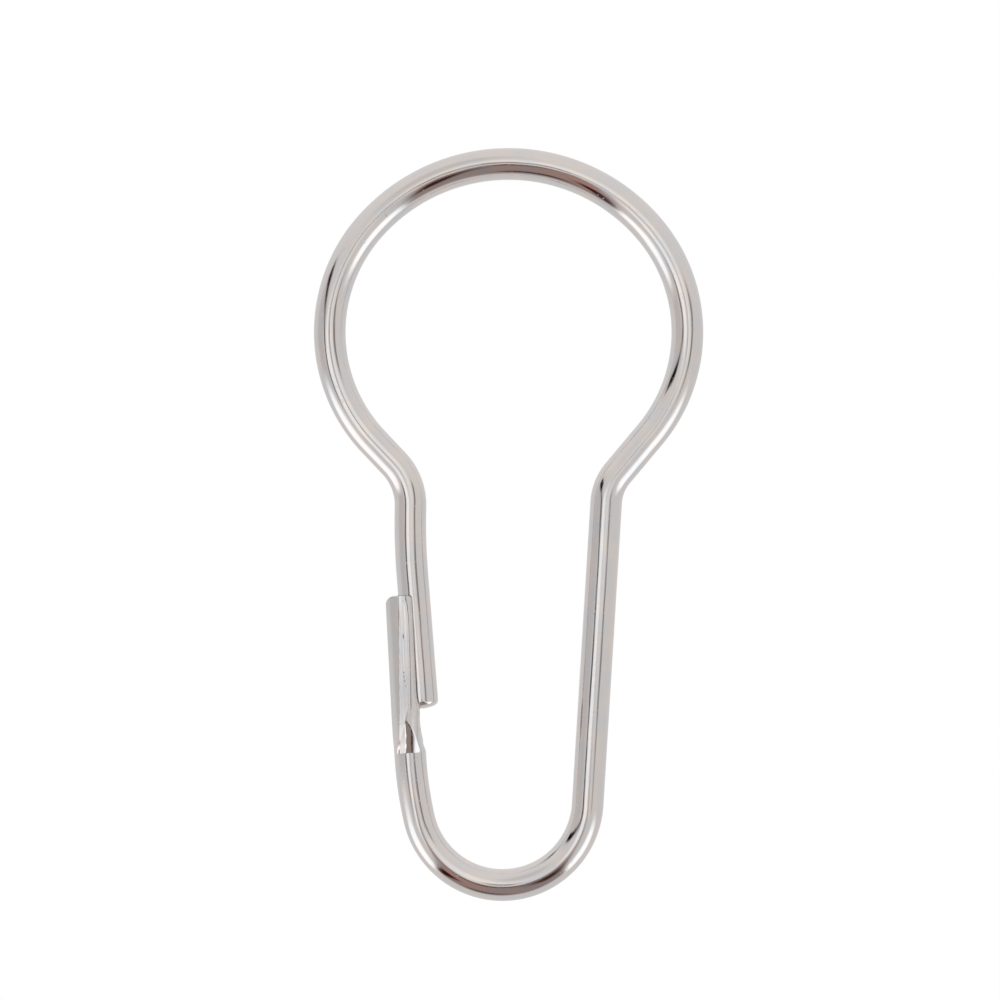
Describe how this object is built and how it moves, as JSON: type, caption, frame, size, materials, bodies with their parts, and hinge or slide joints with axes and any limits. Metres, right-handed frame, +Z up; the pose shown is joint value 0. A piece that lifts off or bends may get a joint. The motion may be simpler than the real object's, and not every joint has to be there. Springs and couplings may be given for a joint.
{
  "type": "curtain hook",
  "caption": "One-piece bright wire curtain hook: a round loop for the rod, a long bow for the curtain, and a springy free leg that snaps into a pressed U latch.",
  "frame": {"origin": "middle of the rod loop, on the wire's middle plane", "axes": "+Z up as the hook hangs, along its length; +X to the right seen from the front, from the latch towards the long leg; +Y to the back, along the rod and square to the wire's plane"},
  "size_m": [0.0364, 0.0046, 0.0704],
  "materials": {
    "plated_wire": "bright nickel plating on drawn steel spring wire"
  },
  "bodies": {
    "root": {"hook": "plated_wire"}
  },
  "joints": []
}
